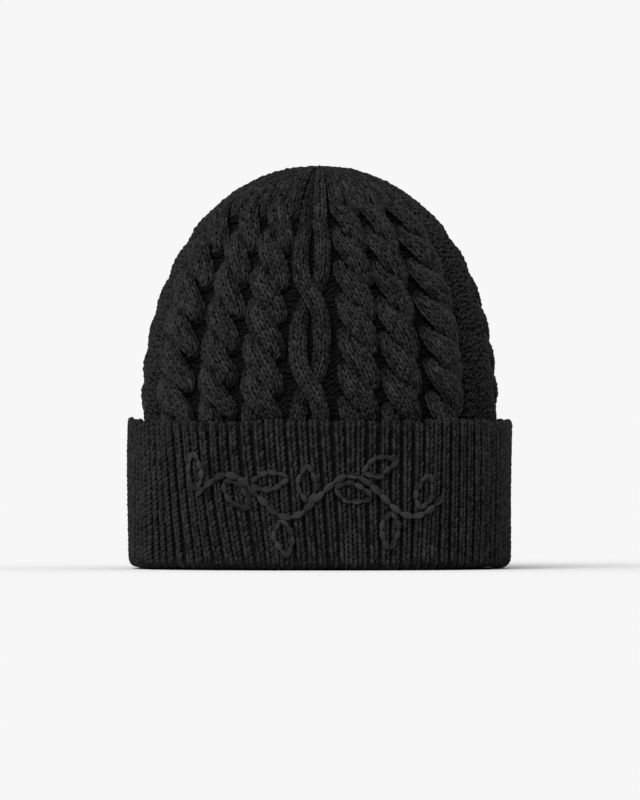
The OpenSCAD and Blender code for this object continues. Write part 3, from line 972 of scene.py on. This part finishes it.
def plied(knit, route, radius, turn_length, sides=6):
    """Two plies twisted round each other along a route of points."""
    gone = distances(np.linalg.norm(np.diff(route, axis=0), axis=1))
    steps = np.linspace(0, gone[-1], max(int(gone[-1] / (turn_length / 8)), 8))
    line = np.stack([np.interp(steps, gone, route[:, i]) for i in range(3)], -1)
    ahead = np.gradient(line, axis=0)
    ahead /= np.linalg.norm(ahead, axis=1)[:, None]
    aside = np.cross(ahead, [0.31, 0.17, 0.93])  # any direction that no thread here runs in
    aside /= np.linalg.norm(aside, axis=1)[:, None]
    third = np.cross(ahead, aside)
    turn = np.linspace(0, TAU, sides, endpoint=False)[None, :, None]
    spokes = np.cos(turn) * aside[:, None] + np.sin(turn) * third[:, None]
    for ply in range(PLIES):
        phase = TAU * (steps / turn_length + ply / PLIES)
        centre = line + 0.5 * radius * (np.cos(phase)[:, None] * aside + np.sin(phase)[:, None] * third)
        knit.solid(tube_solid(centre[:, None] + 0.55 * radius * spokes))


def middle_and_half(node):
    """The middle of a node's box, and half its size."""
    low, high = (np.array(c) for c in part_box(node))
    return (low + high) / 2, (high - low) / 2


def gather():
    """The drawn-in yarn under the crown's top and its knot."""
    middle, half = middle_and_half("crown_gather_yarn")
    turn = np.linspace(0, TAU, 48)
    ring = np.stack([np.cos(turn), np.sin(turn), 0 * turn], -1)
    knit = Knit()
    plied(knit, middle + (half[0] - half[2]) * ring, half[2], 5 * MM)
    knit.finish("crown_gather_yarn_plied", SEAM_YARN, "hat", "seam_yarn", ["crown_gather_yarn"])
    middle, half = middle_and_half("crown_gather_knot")
    t = np.linspace(0, TAU, 90)
    trefoil = np.stack([np.sin(t) + 2 * np.sin(2 * t), np.cos(t) - 2 * np.cos(2 * t), -np.sin(3 * t)], -1)
    knit = Knit()
    plied(knit, middle + trefoil * half[0] * 0.26, 0.75 * MM, 4 * MM)
    knit.finish("crown_gather_knot_plied", SEAM_YARN, "hat", "seam_yarn", ["crown_gather_knot"])


def back_seam():
    """Mattress stitches zigzagging up the inside of the centre back."""
    ups = np.arange(1 * MM, up_at(72), 2.7 * MM)
    side = np.where(np.arange(len(ups)) % 2 == 0, 1, -1) * 1.1 * MM
    route = crown(share_of(90) + side / crown_width(ups), ups, np.full_like(ups, -3.9 * MM))
    knit = Knit()
    plied(knit, route, 0.75 * MM, 4 * MM)
    knit.finish("back_seam_stitches", SEAM_YARN, "hat", "seam_yarn", ["back_seam"])


def ribbon_line(bottom, pivot):
    """The label's way up its front, over its thread and down its back, as (depth, height) points."""
    loop, apart = 0.95 * MM, 0.22 * MM
    down = np.linspace(1, 0, 18)
    gap = apart + (loop - apart) * np.clip(down * 5 - 4, 0, 1) ** 2
    bend = 0.35 * MM * np.sin(down * 5)
    rise = bottom + (pivot - bottom) * down
    arc = np.linspace(0, math.pi, 13)[1:-1]
    front = np.stack([gap + bend, rise], -1)[::-1]
    over = np.stack([loop * np.cos(arc), pivot + loop * np.sin(arc)], -1)
    back = np.stack([-gap + bend, rise], -1)
    return np.concatenate([front, over, back])


def care_label():
    """A blank ribbon folded over its thread, with its two ends hanging together."""
    low, high = (np.array(c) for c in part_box("care_label"))
    pivot = np.array(frame["record"]["behaviour"]["joints"][0]["pos_m"])
    width, thick = high[0] - low[0], 0.22 * MM
    line = ribbon_line(low[2] + 0.3 * MM, pivot[2])
    way = np.gradient(line, axis=0)
    way /= np.linalg.norm(way, axis=1)[:, None]
    normal = np.stack([way[:, 1], -way[:, 0]], -1) * thick / 2
    section = np.concatenate([line + normal, (line - normal)[::-1]]) + [pivot[1], 0]
    rings = np.array([[(x, y, z) for y, z in section] for x in np.linspace(-width / 2, width / 2, 24)])
    knit = Knit()
    knit.solid(tube_solid(rings))
    ribbon = knit.finish("care_label_ribbon", RIBBON, "label", "label_ribbon", ["care_label"])


def label_thread():
    """The thread that comes out of the wall, runs through the label's fold and goes back in."""
    middle, half = middle_and_half("care_label_stitches")
    _, pivot_y, pivot_z = frame["record"]["behaviour"]["joints"][0]["pos_m"]
    post, wall, corner = half[0] - 0.6 * MM, middle[1] + half[1], 0.5 * MM
    side = [(post, wall), (post, pivot_y + corner), (post - corner, pivot_y)]
    route = np.array([(-x, y, pivot_z) for x, y in side] + [(x, y, pivot_z) for x, y in side[::-1]])
    knit = Knit()
    plied(knit, route, 0.55 * MM, 2.5 * MM)
    knit.finish("care_label_thread", SEAM_YARN, "hat", "label_thread", ["care_label_stitches"])


gather()
back_seam()
care_label()
label_thread()

# ---------------------------------------------------------------- floor, light and camera

def floor():
    """A wide, pale, matt floor under the fold."""
    bpy.ops.mesh.primitive_circle_add(vertices=96, radius=60, fill_type="NGON")
    disc = bpy.context.object
    disc.name = "floor"
    paper = bpy.data.materials.new("pale floor")
    paper.use_nodes = True
    shader = paper.node_tree.nodes["Principled BSDF"]
    shader.inputs["Base Color"].default_value = (0.613, 0.613, 0.613, 1)
    shader.inputs["Roughness"].default_value = 1
    shader.inputs["Specular IOR Level"].default_value = 0
    disc.data.materials.append(paper)


def key_light():
    """A broad, even light from high at the front left, as strong on the whole floor as on the hat."""
    light = bpy.data.lights.new("key light", "SUN")
    light.energy, light.angle = 3, math.radians(40)
    lamp = bpy.data.objects.new("key light", light)
    bpy.context.scene.collection.objects.link(lamp)
    lamp.rotation_euler = (math.radians(52), 0, math.radians(-25))


def camera():
    """A long lens at the front, level, that gives the hat its share of an upright 4 by 5 frame."""
    lens = bpy.data.cameras.new("camera")
    eye = bpy.data.objects.new("camera", lens)
    bpy.context.scene.collection.objects.link(eye)
    away, frame_height, eye_below_middle = 8, 0.3935, 16.2 * MM
    eye.location = (0, -away, (CROWN_TOP + 2.5 * MM) / 2 - eye_below_middle)
    eye.rotation_euler = (math.pi / 2, 0, 0)
    lens.sensor_width = 36
    lens.lens = lens.sensor_width * away / frame_height
    lens.clip_end = 200
    bpy.context.scene.camera = eye


def world():
    """An even, pale grey surround."""
    sky = bpy.data.worlds.new("studio")
    sky.use_nodes = True
    back = sky.node_tree.nodes["Background"]
    back.inputs[0].default_value = (0.93, 0.93, 0.93, 1)
    back.inputs[1].default_value = 1
    bpy.context.scene.world = sky
    bpy.context.scene.view_settings.view_transform = "Standard"


floor()
key_light()
world()
camera()
